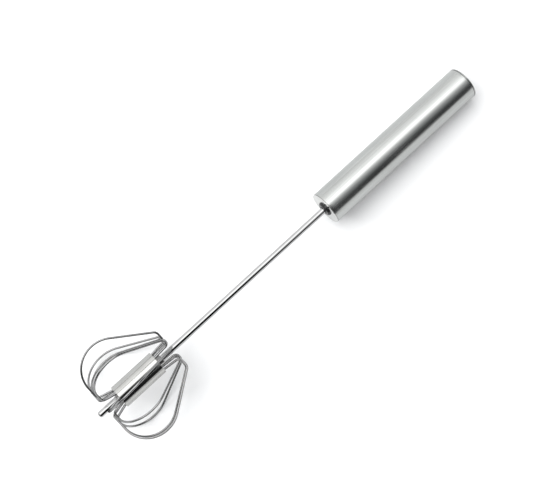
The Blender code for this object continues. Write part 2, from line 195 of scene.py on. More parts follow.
# Each loop as bent by hand: CAD node, angle of its leg in the sleeve, angle of its belly and lean (all in
# degrees), how much further up its foot ends, and how much closer its neck lies to the shaft (both in mm).
# Angles run from the side facing the table.
LOOPS = (
    ("wire_loop_1", -39.0, -40.2, 0.0, -0.3, 0.0),
    ("wire_loop_2", -68.0, -69.8, 0.0, 0.0, 0.0),
    ("wire_loop_3", -107.0, -106.8, 0.0, 0.0, 0.0),
    ("wire_loop_4", -152.0, -147.8, 0.0, 1.4, 0.0),
    ("wire_loop_5", -177.0, -177.0, -3.2, 0.0, 0.0),
    ("wire_loop_6", 150.0, 146.8, 0.0, 1.0, 1.4),
    ("wire_loop_7", 108.0, 108.2, 0.0, 0.0, 0.0),
    ("wire_loop_8", 57.0, 48.8, 0.0, -0.5, 0.0),
    ("wire_loop_9", 36.0, 40.2, 0.0, -0.5, 0.4),
)


# ---------------------------------------------------------------------------------------------------------
# Shapes
# ---------------------------------------------------------------------------------------------------------


def rounded(corners, closed=True):
    """Polygon whose corners (x, y, radius, steps) become arcs.

    Each arc has its centre on the corner's bisector, radius / sin(half angle) away, and runs between the
    two points where it touches the sides. It is given as centre + cos(a) * start + sin(a) * side, where
    start points at the first touching point and side is start turned a quarter towards the second.
    """
    places = np.array([corner[:2] for corner in corners], float)
    runs = []
    for i, (x, y, radius, steps) in enumerate(corners):
        here = places[i]
        if radius == 0.0 or (not closed and i in (0, len(corners) - 1)):
            runs.append(here[None])
            continue
        back = places[i - 1] - here
        ahead = places[(i + 1) % len(places)] - here
        back /= np.linalg.norm(back)
        ahead /= np.linalg.norm(ahead)
        half = math.acos(np.clip(back @ ahead, -1.0, 1.0)) / 2
        bisector = (back + ahead) / np.linalg.norm(back + ahead)
        centre = here + bisector * (radius / math.sin(half))
        start = here + back * (radius / math.tan(half)) - centre
        side = np.array([-start[1], start[0]])
        if side @ (here + ahead * (radius / math.tan(half)) - centre) < 0:
            side = -side
        turn = np.linspace(0.0, math.pi - 2 * half, steps + 1)[:, None]
        runs.append(centre + np.cos(turn) * start + np.sin(turn) * side)
    return np.concatenate(runs)


def grid_faces(rows, columns, wrap_rows, wrap_columns):
    """Quads between neighbouring rows and columns of a grid, joined round where it wraps."""
    i = np.arange(rows if wrap_rows else rows - 1)[:, None]
    j = np.arange(columns if wrap_columns else columns - 1)[None]
    i2 = (i + 1) % rows
    j2 = (j + 1) % columns
    quads = np.stack((i * columns + j, i2 * columns + j, i2 * columns + j2, i * columns + j2), axis=-1)
    return quads.reshape(-1, 4)


def revolve(profile, steps, closed=True):
    """Grid of points (r cos a, r sin a, z) for every profile point (r, z) and every angle a of one turn.

    Returns the points, the faces and, for each point, where it lies along and round the metal: the same
    place, which the grain of the metal follows.
    """
    turn = np.arange(steps) / steps * math.tau
    points = np.stack(
        (
            np.outer(np.cos(turn), profile[:, 0]),
            np.outer(np.sin(turn), profile[:, 0]),
            np.broadcast_to(profile[:, 1], (steps, len(profile))),
        ),
        axis=-1,
    ).reshape(-1, 3)
    return points, grid_faces(steps, len(profile), True, closed), points


def sweep(path, side, radius, steps, closed):
    """Round wire: at each path point p, the circle p + radius * (cos a * n + sin a * b).

    n is the side vector with its part along the wire taken off, and b is along x n. An open wire ends in
    a dome: three more rings, each closer in and further out, the last of them a point. The grain
    coordinates are (radius cos a, radius sin a, distance along the wire).
    """
    if closed:
        along = np.roll(path, -1, axis=0) - np.roll(path, 1, axis=0)
    else:
        along = np.gradient(path, axis=0)
    along /= np.linalg.norm(along, axis=1)[:, None]
    normal = side - (side * along).sum(axis=1)[:, None] * along
    normal /= np.linalg.norm(normal, axis=1)[:, None]
    across = np.cross(along, normal)
    step = np.linalg.norm(np.diff(path, axis=0, prepend=path[:1]), axis=1)
    run = np.cumsum(step)
    scale = np.ones(len(path))
    if not closed:
        bow = np.array([0.0, 0.45, 0.8])
        shrink = np.sqrt(1 - (1 - bow) ** 2)
        lift = (1 - bow)[:, None] * radius * 0.6
        path = np.concatenate((path[:1] - lift * along[:1], path, path[-1:] + lift[::-1] * along[-1:]))
        normal = np.concatenate((normal[[0, 0, 0]], normal, normal[[-1, -1, -1]]))
        across = np.concatenate((across[[0, 0, 0]], across, across[[-1, -1, -1]]))
        run = np.concatenate((run[[0, 0, 0]], run, run[[-1, -1, -1]]))
        scale = np.concatenate((shrink, scale, shrink[::-1]))
    turn = np.arange(steps) / steps * math.tau
    cos = np.cos(turn)[None, :, None]
    sin = np.sin(turn)[None, :, None]
    size = (radius * scale)[:, None, None]
    points = path[:, None] + size * (cos * normal[:, None] + sin * across[:, None])
    grain = np.stack(
        (
            np.broadcast_to(radius * cos[..., 0], points.shape[:2]),
            np.broadcast_to(radius * sin[..., 0], points.shape[:2]),
            np.broadcast_to(run[:, None], points.shape[:2]),
        ),
        axis=-1,
    )
    return points.reshape(-1, 3), grid_faces(len(path), steps, closed, True), grain.reshape(-1, 3)


# Two faces that meet at more than this angle keep a crisp edge
SHARP_ANGLE = math.radians(38)


def make_piece(name, shape, body, node, material):
    """Mesh object from (points, faces, grain) in the tool's frame, placed, smoothed and given to its body."""
    points, faces, grain = shape
    mesh = bpy.data.meshes.new(name)
    mesh.from_pydata(to_world(points), [], faces)
    attribute = mesh.attributes.new("grain", "FLOAT_VECTOR", "POINT")
    attribute.data.foreach_set("vector", grain.astype(np.float32).ravel())
    bm = bmesh.new()
    bm.from_mesh(mesh)
    bmesh.ops.remove_doubles(bm, verts=bm.verts, dist=1e-7)
    bmesh.ops.dissolve_degenerate(bm, edges=bm.edges, dist=1e-8)
    bmesh.ops.recalc_face_normals(bm, faces=bm.faces)
    bm.to_mesh(mesh)
    bm.free()
    mesh.shade_smooth()
    mesh.set_sharp_from_angle(angle=SHARP_ANGLE)
    mesh.materials.append(material)
    piece = bpy.data.objects.new(name, mesh)
    bpy.context.scene.collection.objects.link(piece)
    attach(piece, body)
    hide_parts(node)
    return piece


# ---------------------------------------------------------------------------------------------------------
# Shader maths
# ---------------------------------------------------------------------------------------------------------


# Places of the colour sockets on a Mix node
MIX_FACTOR = 0
MIX_FIRST = 6
MIX_SECOND = 7
MIX_RESULT = 2


class Value:
    """A shader socket that takes part in Python expressions by adding Math nodes."""

    def __init__(self, graph, socket):
        self.graph = graph
        self.socket = socket

    def maths(self, operation, *values):
        """Math node of this operation on the given values."""
        return self.graph.node("ShaderNodeMath", {"operation": operation}, dict(enumerate(values)))

    def __add__(self, other):
        return self.maths("ADD", self, other)

    __radd__ = __add__

    def __sub__(self, other):
        return self.maths("SUBTRACT", self, other)

    def __rsub__(self, other):
        return self.maths("SUBTRACT", other, self)

    def __mul__(self, other):
        return self.maths("MULTIPLY", self, other)

    __rmul__ = __mul__

    def __truediv__(self, other):
        return self.maths("DIVIDE", self, other)

    def __abs__(self):
        return self.maths("ABSOLUTE", self)

    def smooth(self, low, high):
        """0 below low, 1 above high, and a smooth step between."""
        settings = {"interpolation_type": "SMOOTHSTEP"}
        return self.graph.node("ShaderNodeMapRange", settings, {0: self, 1: low, 2: high})


class Graph:
    """Nodes of one material or world."""

    def __init__(self, tree):
        self.tree = tree

    def node(self, kind, settings=None, inputs=None, output=0):
        """Add a node: its settings first, then the values or links of its sockets; returns one output."""
        node = self.tree.nodes.new(kind)
        for key, value in (settings or {}).items():
            if key == "stops":
                ramp = node.color_ramp.elements
                while len(ramp) < len(value):
                    ramp.new(0.5)
                for element, (position, shade) in zip(ramp, value):
                    element.position = position
                    element.color = (shade, shade, shade, 1.0)
            else:
                setattr(node, key, value)
        for key, value in (inputs or {}).items():
            if isinstance(value, Value):
                self.tree.links.new(value.socket, node.inputs[key])
            else:
                node.inputs[key].default_value = value
        return Value(self, node.outputs[output]) if node.outputs else None

    def grain(self):
        """The piece's own coordinates: across, across and along the metal."""
        return self.node("ShaderNodeAttribute", {"attribute_name": "grain"}, output="Vector")

    def tool_coordinates(self):
        """Object coordinates turned into the tool's frame, for pieces without their own."""
        place = self.node("ShaderNodeTexCoord", output="Object")
        turn = Matrix(TOOL.T.tolist()).to_euler()
        settings = {"vector_type": "POINT"}
        moved = self.node("ShaderNodeVectorMath", {"operation": "SUBTRACT"}, {0: place, 1: tuple(TIP)})
        return self.node("ShaderNodeMapping", settings, {"Vector": moved, "Rotation": tuple(turn)})

    def stretched(self, vector, across, along):
        """vector with its two cross directions and its long direction scaled, in cells per metre."""
        return self.node(
            "ShaderNodeVectorMath", {"operation": "MULTIPLY"}, {0: vector, 1: (across, across, along)}
        )

    def noise(self, vector, detail=2.0, rough=0.5):
        """Soft noise from 0 to 1 at one cell per unit of vector."""
        inputs = {"Vector": vector, "Scale": 1.0, "Detail": detail, "Roughness": rough}
        return self.node("ShaderNodeTexNoise", None, inputs)

    def cells(self, vector):
        """Distance to the nearest of scattered points, one per unit of vector."""
        return self.node("ShaderNodeTexVoronoi", None, {"Vector": vector, "Scale": 1.0})

    def split(self, vector):
        """The three parts of a vector."""
        node = self.node("ShaderNodeSeparateXYZ", None, {0: vector})
        return [Value(self, out) for out in node.socket.node.outputs]

    def mix(self, factor, first, second):
        """Colour between first and second."""
        inputs = {MIX_FACTOR: factor, MIX_FIRST: first, MIX_SECOND: second}
        return self.node("ShaderNodeMix", {"data_type": "RGBA"}, inputs, MIX_RESULT)

    def bump(self, height, depth, strength=1.0):
        """Normal of a surface raised by height times depth."""
        return self.node("ShaderNodeBump", None, {"Strength": strength, "Distance": depth, "Height": height})


def shade(base, factor):
    """The colour base made lighter or darker."""
    return (*(min(channel * factor, 1.0) for channel in base), 1.0)


def principled(name, recipe, **constants):
    """Material whose recipe(graph) gives the changing sockets; constants go straight on the shader."""
    material = bpy.data.materials.new(name)
    material.use_nodes = True
    shader = material.node_tree.nodes["Principled BSDF"]
    graph = Graph(material.node_tree)
    for key, value in constants.items():
        shader.inputs[key.replace("_", " ").title()].default_value = value
    for key, value in recipe(graph).items():
        graph.tree.links.new(value.socket, shader.inputs[key])
    return material


def brushed_steel(name, base, grain, rough, seams):
    """Satin steel: hairlines along the tool, broad handling marks, and grime caught at the seams' heights."""

    def recipe(graph):
        place = graph.grain()
        hair = graph.noise(graph.stretched(place, 2600.0, 26.0), 3.0, 0.6)
        line = graph.noise(graph.stretched(place, 700.0, 9.0), 2.0)
        patch = graph.noise(graph.stretched(place, 70.0, 32.0), 3.0)
        marks = 0.4 * hair + 0.3 * line + 0.3 * patch
        tone = (marks - 0.5) * (2.4 * grain) + 0.5
        steel = graph.mix(tone, shade(base, 0.82), shade(base, 1.18))
        roughness = rough + (hair - 0.5) * 0.12 + (patch - 0.5) * 0.24
        height = graph.split(place)[2]
        dirt = 0.0
        for seam in seams:
            dirt = (1 - abs(height - seam).smooth(0.08 * MM, 0.42 * MM)) + dirt
        steel = graph.mix(dirt * 0.72, steel, (0.05, 0.048, 0.045, 1.0))
        roughness = roughness + dirt * 0.2
        return {
            "Base Color": steel,
            "Roughness": roughness,
            "Normal": graph.bump(hair * 0.7 + line * 0.3, 0.004 * MM, min(grain, 1.0)),
        }

    return principled(name, recipe, metallic=1.0)


def polished_steel(name, base, rough, turned=0.0, drawn=0.0, edge=1.0):
    """Bright steel: faint turning rings or drawing lines, hazy handling marks and a few fine scuffs.

    edge is how bright the metal stays at a grazing look, from 0 to 1.
    """

    def recipe(graph):
        place = graph.grain()
        rings = graph.noise(graph.stretched(place, 20.0, 5200.0), 2.0)
        lines = graph.noise(graph.stretched(place, 5200.0, 30.0), 2.0)
        haze = graph.noise(graph.stretched(place, 160.0, 90.0), 4.0, 0.6)
        scuff = 1 - graph.cells(graph.stretched(place, 420.0, 150.0)).smooth(0.02, 0.13)
        steel = graph.mix(haze.smooth(0.25, 0.8), shade(base, 1.06), shade(base, 0.93))
        roughness = rough + (haze - 0.5) * 0.08 + scuff * 0.06
        relief = rings * turned + lines * drawn + haze * 0.1
        return {
            "Base Color": steel,
            "Roughness": roughness,
            "Normal": graph.bump(relief, 0.003 * MM),
        }

    return principled(name, recipe, metallic=1.0, specular_tint=(edge, edge, edge, 1.0))


def dull_metal(name, base, dark, rough, own=False):
    """Turned or rolled metal left as it came off the machine, oily in patches."""

    def recipe(graph):
        place = graph.grain() if own else graph.tool_coordinates()
        rings = graph.noise(graph.stretched(place, 60.0, 3600.0), 3.0)
        oil = graph.noise(graph.stretched(place, 240.0, 200.0), 4.0, 0.6)
        metal = graph.mix(oil.smooth(0.3, 0.75), (*base, 1.0), (*dark, 1.0))
        return {
            "Base Color": metal,
            "Roughness": rough + (oil - 0.5) * 0.2 + (rings - 0.5) * 0.08,
            "Normal": graph.bump(rings, 0.01 * MM),
        }

    return principled(name, recipe, metallic=1.0)


def moulded_nylon(name, base):
    """Dark nylon with the fine tooth of a spark-eroded mould."""

    def recipe(graph):
        place = graph.grain()
        tooth = graph.noise(graph.stretched(place, 7000.0, 7000.0), 2.0)
        bloom = graph.noise(graph.stretched(place, 300.0, 300.0), 3.0)
        return {
            "Base Color": graph.mix(bloom, (*base, 1.0), shade(base, 1.5)),
            "Roughness": 0.14 + (tooth - 0.5) * 0.1,
            "Normal": graph.bump(tooth, 0.02 * MM),
        }

    return principled(name, recipe)


# ---------------------------------------------------------------------------------------------------------
# Pieces
# ---------------------------------------------------------------------------------------------------------

# Steps round the wide turned pieces and round the narrow ones
ROUND = 192
SMALL_ROUND = 96
# How far the caps' spigots reach into the tube, and the clearance between fitted pieces and round the bush
SPIGOT = 2.4 * MM
FIT = 0.05 * MM
BUSH_PLAY = 0.1 * MM
# Radii of a loop's bends: where it leaves the sleeve, nearest the shaft, and at its shoulder
SLEEVE_BEND = 3.0 * MM
NECK_BEND = 2.6 * MM
SHOULDER_BEND = 3.4 * MM
# Longest straight step along a wire
WIRE_STEP = 1.2 * MM


class WHISK_OT_handle_tube(bpy.types.Operator):
    """Build the brushed handle tube"""

    bl_idname = "whisk.handle_tube"
    bl_label = "Handle tube"

    def execute(self, context):
        s = context.scene.whisk_handle
        low = s.bottom + s.rim + FIT
        high = s.top - s.cap - FIT
        inner = s.radius - s.wall
        rows = 40
        corners = [
            (s.radius, high, s.seam, 5),
            *((s.radius, z, 0.0, 1) for z in np.linspace(high, low, rows)[1:-1]),
            (s.radius, low, 0.5 * s.seam, 5),
            (inner, low, 0.08 * MM, 2),
            (inner, high, 0.08 * MM, 2),
        ]
        seams = (s.bottom + s.rim, s.top - s.cap)
        steel = brushed_steel("brushed_handle_steel", s.steel, s.grain, 0.22, seams)
        shape = revolve(rounded(corners), ROUND)
        make_piece("handle_shell", shape, "handle", "handle_tube", steel)
        return {"FINISHED"}


class WHISK_OT_caps(bpy.types.Operator):
    """Build the top cap and the lower cap"""

    bl_idname = "whisk.caps"
    bl_label = "Caps"

    def execute(self, context):
        s = context.scene.whisk_handle
        self.top_cap(s)
        self.bottom_cap(s)
        return {"FINISHED"}

    def top_cap(self, s):
        """Flat disc with a softly rounded rim, a shade dished, and a spigot inside the tube."""
        low = s.top - s.cap
        spigot = s.radius - s.wall - FIT
        inner = spigot - 1.2 * MM
        share = np.linspace(0, 0.93, 12)
        dished = s.top - 0.06 * MM * (1 - share**2)
        face = [(r, z, 0.0, 1) for r, z in zip(share * s.radius, dished)]
        corners = [
            *face,
            (s.radius, s.top, s.top_round, 8),
            (s.radius, low, s.seam, 5),
            (spigot, low, 0.0, 1),
            (spigot, low - SPIGOT, 0.3 * MM, 3),
            (inner, low - SPIGOT, 0.0, 1),
            (inner, low, 0.0, 1),
            (0.0, low, 0.0, 1),
        ]
        steel = brushed_steel("brushed_cap_steel", s.steel, 0.5 * s.grain, 0.24, (low,))
        shape = revolve(rounded(corners, False), ROUND, False)
        make_piece("top_cap_disc", shape, "handle", "top_cap", steel)

    def bottom_cap(self, s):
        """Rounded cap with a hole for the bush's nose."""
        high = s.bottom + s.rim
        inside = s.bottom + s.cap
        spigot = s.radius - s.wall - FIT
        inner = spigot - 1.0 * MM
        corners = (
            (spigot, inside + SPIGOT, 0.3 * MM, 3),
            (spigot, high, 0.0, 1),
            (s.radius, high, 0.08 * MM, 4),
            (s.radius, s.bottom, s.bottom_round, 8),
            (s.hole, s.bottom, 0.22 * MM, 5),
            (s.hole, inside, 0.0, 1),
            (inner, inside, 0.0, 1),
            (inner, inside + SPIGOT, 0.0, 1),
        )
        steel = polished_steel("polished_cap_steel", s.cap_steel, 0.2)
        shape = revolve(rounded(corners), ROUND)
        make_piece("bottom_cap_cup", shape, "handle", "bottom_cap", steel)


class WHISK_OT_bush(bpy.types.Operator):
    """Build the nylon bush that guides the shaft"""

    bl_idname = "whisk.bush"
    bl_label = "Guide bush"

    def execute(self, context):
        s = context.scene.whisk_handle
        seat = s.bottom + s.cap + FIT
        top = s.bush_top
        # The nose stays clear of the cap's hole, the bore of the shaft, and the body of the cap's spigot
        nose = s.hole - BUSH_PLAY
        bore = context.scene.whisk_shaft.radius + BUSH_PLAY
        body = s.radius - s.wall - 1.2 * MM
        corners = (
            (body, top, 0.3 * MM, 4),
            (body, seat, 0.0, 1),
            (nose, seat, 0.0, 1),
            (nose, s.bush_face, s.bush_round, 10),
            (bore + s.bush_funnel, s.bush_face, 0.2 * MM, 4),
            (bore, s.bush_face + s.bush_funnel, 0.2 * MM, 3),
            (bore, top, 0.3 * MM, 4),
        )
        nylon = moulded_nylon("moulded_bush_nylon", (0.008, 0.008, 0.0085))
        shape = revolve(rounded(corners), SMALL_ROUND)
        make_piece("guide_bush_ring", shape, "handle", "guide_bush", nylon)
        return {"FINISHED"}


class WHISK_OT_shaft(bpy.types.Operator):
    """Build the shaft tube and its rounded tip"""

    bl_idname = "whisk.shaft"
    bl_label = "Shaft"

    def execute(self, context):
        s = context.scene.whisk_shaft
        steel = polished_steel("polished_shaft_steel", s.steel, 0.09, drawn=0.5)
        rows = np.linspace(s.top, s.seam, 60)[1:-1]
        tube = [
            (s.radius, s.top, 0.15 * MM, 3),
            *((s.radius, z, 0.0, 1) for z in rows),
            (s.radius, s.seam, 0.08 * MM, 2),
            (s.bore, s.seam, 0.08 * MM, 2),
            (s.bore, s.top, 0.08 * MM, 2),
        ]
        shape = revolve(rounded(tube), SMALL_ROUND)
        make_piece("shaft_rod", shape, "beater", "shaft_tube", steel)
        spigot = s.bore - FIT
        seam = s.seam - FIT
        tip = (
            (0.0, s.seam + 6.0 * MM, 0.0, 1),
            (spigot, s.seam + 6.0 * MM, 0.2 * MM, 2),
            (spigot, seam, 0.0, 1),
            (s.radius, seam, 0.06 * MM, 2),
            (s.radius, 0.0, s.tip_round, 12),
            (0.0, 0.0, 0.0, 1),
        )
        shape = revolve(rounded(tip, False), SMALL_ROUND, False)
        make_piece("shaft_end", shape, "beater", "shaft_tip", steel)
        return {"FINISHED"}


class WHISK_OT_hub(bpy.types.Operator):
    """Build the hub's sleeve and core"""

    bl_idname = "whisk.hub"
    bl_label = "Hub"

    def execute(self, context):
        s = context.scene.whisk_head
        sleeve = (
            (s.sleeve, s.hub_top, 0.3 * MM, 6),
            (s.sleeve, s.hub_bottom, 0.3 * MM, 6),
            (s.sleeve_bore, s.hub_bottom, 0.25 * MM, 4),
            (s.sleeve_bore, s.hub_top, 0.25 * MM, 4),
        )
        steel = polished_steel("polished_hub_steel", s.hub_steel, 0.1, turned=0.8)
        shape = revolve(rounded(sleeve), ROUND)
        make_piece("hub_barrel", shape, "beater", "hub_sleeve", steel)
        bore = context.scene.whisk_shaft.radius + FIT
        inset = 1.0 * MM
        core = (
            (s.nose, s.hub_top + s.collar_up, 0.3 * MM, 5),
            (s.nose, s.hub_top - inset, 0.0, 1),
            (s.core, s.hub_top - inset, 0.25 * MM, 3),
            (s.core, s.hub_bottom + inset, 0.25 * MM, 3),
            (s.nose, s.hub_bottom + inset, 0.0, 1),
            (s.nose, s.hub_bottom - s.nose_down, 0.3 * MM, 5),
            (bore, s.hub_bottom - s.nose_down, 0.1 * MM, 2),
            (bore, s.hub_top + s.collar_up, 0.1 * MM, 2),
        )
        dull = dull_metal("dull_core_steel", (0.34, 0.34, 0.34), (0.2, 0.195, 0.19), 0.3, True)
        shape = revolve(rounded(core), SMALL_ROUND)
        make_piece("hub_middle", shape, "beater", "hub_core", dull)
        return {"FINISHED"}


class WHISK_OT_wire_loops(bpy.types.Operator):
    """Build the wire loops of the beating head"""

    bl_idname = "whisk.wire_loops"
    bl_label = "Wire loops"

    def execute(self, context):
        s = context.scene.whisk_head
        steel = polished_steel("bright_wire_steel", s.wire_steel, 0.07, drawn=0.3, edge=0.0)
        for name, *angles, rise, neck in LOOPS:
            leg, belly, lean = np.radians(angles)
            path, side = self.path(s, leg, belly, lean, rise * MM, neck * MM)
            shape = sweep(path, side, s.wire, 20, True)
            make_piece(name.replace("wire_loop", "bent_wire"), shape, "beater", name, steel)
        return {"FINISHED"}

    def outline(self, s, rise, neck):
        """(height, reach) of one loop, closed through the sleeve.

        The belly is a circle of the belly radius. The straight run from the shoulder touches it, and the
        foot is level; the corner where the two would meet is rounded by the belly's arc.
        """
        foot = s.foot + rise
        shoulder_reach = s.shoulder - neck
        centre = np.array([s.foot + s.belly, s.reach - s.belly])
        shoulder = np.array([s.head, shoulder_reach]) - centre
        tangent = math.atan2(shoulder[1], shoulder[0]) + math.acos(s.belly / np.linalg.norm(shoulder))
        along = (s.belly - (foot - centre[0]) * math.cos(tangent)) / math.sin(tangent)
        corners = (
            (s.hub_top + 0.6 * MM, s.leg, SLEEVE_BEND, 5),
            (s.hub_bottom - 0.6 * MM, s.leg, SLEEVE_BEND, 6),
            (foot, s.foot_reach, NECK_BEND, 14),
            (foot, centre[1] + along, s.belly - 0.5 * rise, 72),
            (s.head, shoulder_reach, SHOULDER_BEND, 14),
            (s.head, s.head_reach, NECK_BEND, 14),
        )
        return rounded(corners)

    def path(self, s, leg, belly, lean, rise, neck):
        """Outline turned into space: the loop leaves the sleeve at angle leg and swings to angle belly.

        The swing follows the smooth step 3 t^2 - 2 t^3 of how far out the point is between the sleeve and
        the foot's bend. The lean moves a point aside by tan(lean) times its height above the hub's middle.
        """
        outline = self.outline(s, rise, neck)
        outline = np.concatenate([self.divide(a, b) for a, b in zip(outline, np.roll(outline, -1, axis=0))])
        height, reach = outline.T
        out = np.clip((reach - s.leg) / (s.foot_reach - s.leg), 0.0, 1.0)
        swing = out * out * (3 - 2 * out)
        turn = leg + (belly - leg) * swing
        aside = math.tan(lean) * (height - (s.hub_bottom + s.hub_top) / 2) * swing
        outward = np.stack((np.cos(turn), np.sin(turn), np.zeros_like(turn)), axis=1)
        across = np.stack((-np.sin(turn), np.cos(turn), np.zeros_like(turn)), axis=1)
        up = np.stack((np.zeros_like(height), np.zeros_like(height), height), axis=1)
        return outward * reach[:, None] + across * aside[:, None] + up, across

    def divide(self, a, b):
        """Points from a up to but without b, at most one wire step apart."""
        count = max(1, math.ceil(np.linalg.norm(b - a) / WIRE_STEP))
        return a + (b - a) * (np.arange(count) / count)[:, None]


class WHISK_OT_drive(bpy.types.Operator):
    """Build the twisted strip and the return spring, and finish the drive's other pieces"""

    bl_idname = "whisk.drive"
    bl_label = "Drive"

    def execute(self, context):
        s = context.scene.whisk_shaft
        self.strip(s)
        self.spring(s)
        steel = dull_metal("plain_inner_steel", (0.5, 0.5, 0.5), (0.3, 0.29, 0.28), 0.3)
        brass = dull_metal("machined_brass", (0.71, 0.52, 0.26), (0.45, 0.3, 0.13), 0.28)
        for node in ("strip_anchor", "anchor_pin", "spring_seat", "thrust_washer"):
            self.finish_node(node, steel)
        self.finish_node("drive_nut", brass)
        return {"FINISHED"}

    def finish_node(self, node, material):
        """Give a CAD node its finished material."""
        piece = frame["nodes"][node]
        piece.data.materials.clear()
        piece.data.materials.append(material)

    def strip(self, s):
        """Flat bar turned with height: its section stands at 360 degrees * (z - straight) / pitch."""
        half_width = s.strip_width / 2
        half_thickness = s.strip_thickness / 2
        edge = 0.12 * MM
        section = rounded(
            (
                (half_width, half_thickness, edge, 3),
                (-half_width, half_thickness, edge, 3),
                (-half_width, -half_thickness, edge, 3),
                (half_width, -half_thickness, edge, 3),
            )
        )
        height = np.arange(s.strip_bottom, s.strip_top, 0.8 * MM)
        height = np.append(height, s.strip_top)
        turn = math.tau * (np.minimum(height, s.strip_straight) - s.strip_straight) / s.strip_pitch
        cos = np.cos(turn)[:, None]
        sin = np.sin(turn)[:, None]
        x, y = section.T
        level = np.repeat(height[:, None], len(x), 1)
        rows = np.stack((cos * x - sin * y, sin * x + cos * y, level), axis=-1)
        ends = np.stack((np.zeros(2), np.zeros(2), height[[0, -1]]), axis=1)
        rows = np.concatenate(
            (np.repeat(ends[:1, None], len(x), 1), rows, np.repeat(ends[1:, None], len(x), 1))
        )
        grain = (np.broadcast_to(x, rows.shape[:2]), np.broadcast_to(y, rows.shape[:2]), rows[..., 2])
        grain = np.stack(grain, axis=-1).reshape(-1, 3)
        shape = (rows.reshape(-1, 3), grid_faces(len(rows), len(x), False, True), grain)
        steel = dull_metal("rolled_strip_steel", (0.5, 0.5, 0.5), (0.36, 0.35, 0.33), 0.24, True)
        make_piece("spiral_strip", shape, "handle", "twisted_strip", steel)

    def spring(self, s):
        """Helix whose rise per turn is small over the closed end turns and larger between them."""
        # Turns in all, and closed turns at each end, which rise a little more than the wire is thick
        turns = 13
        closed = 1.25
        low = s.spring_low + s.spring_wire + FIT
        high = s.spring_high - s.spring_wire - FIT
        rise = closed * 2.2 * s.spring_wire
        turn = np.linspace(0.0, turns, turns * 40 + 1)
        height = np.interp(turn, (0.0, closed, turns - closed, turns), (low, low + rise, high - rise, high))
        outward = np.stack((np.cos(math.tau * turn), np.sin(math.tau * turn), np.zeros_like(turn)), axis=1)
        path = outward * s.spring_radius + np.stack((0 * height, 0 * height, height), axis=1)
        shape = sweep(path, outward, s.spring_wire, 14, False)
        steel = dull_metal("drawn_spring_steel", (0.45, 0.45, 0.46), (0.3, 0.29, 0.28), 0.26, True)
        piece = make_piece("return_coil", shape, "handle", "return_spring", steel)
        anchor = to_world(np.array([0.0, 0.0, s.spring_high]))
        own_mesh(piece)


# Half the length and breadth of the table, in metres
TABLE_HALF = 6.0


